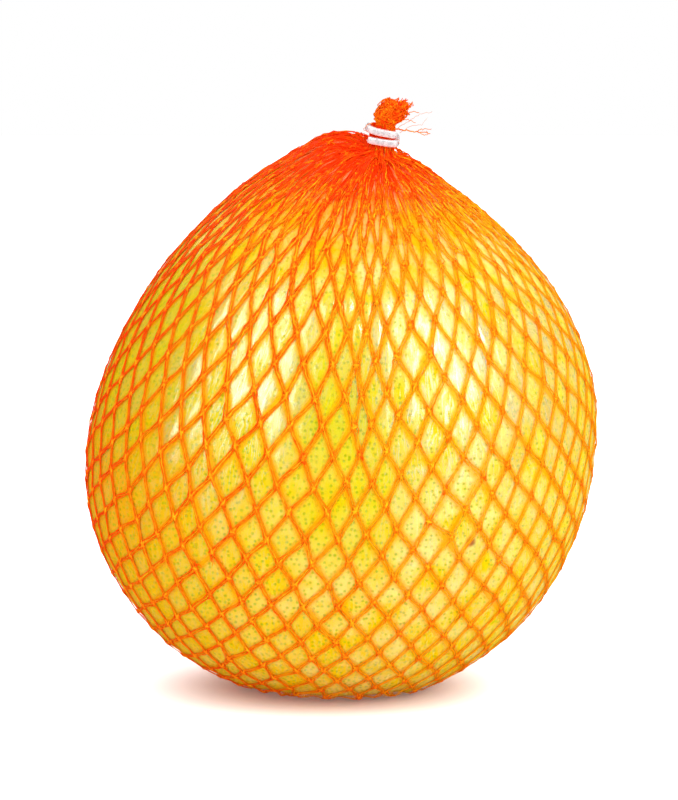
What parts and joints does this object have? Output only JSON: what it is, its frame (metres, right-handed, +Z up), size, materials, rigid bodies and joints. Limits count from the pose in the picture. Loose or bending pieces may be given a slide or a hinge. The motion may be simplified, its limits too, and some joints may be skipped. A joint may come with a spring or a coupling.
{
  "type": "pomelo in clear film and a net sleeve",
  "caption": "Whole pear-shaped pomelo wrapped in clear film inside an orange knitted net sleeve, gathered and clipped at the top and low at the back; stands on a small flat spot.",
  "frame": {"origin": "under the middle of the object, on the surface that it stands on", "axes": "+Z up through the fruit, +X to the right with the net's gather leaning that way, the fruit's front towards -Y"},
  "size_m": [0.1564, 0.1494, 0.177],
  "materials": {
    "peel": "waxy citrus peel with fine oil glands, yellow with green patches",
    "clear_film": "clear glossy film with fine creases",
    "net_yarn": "translucent orange flat yarn, knitted in diamonds",
    "clip_metal": "bare drawn wire, crimped"
  },
  "bodies": {
    "root": {"pomelo_fruit": "peel", "cling_film": "clear_film", "net_sleeve": "net_yarn", "top_clip": "clip_metal", "base_clip": "clip_metal"}
  },
  "joints": []
}
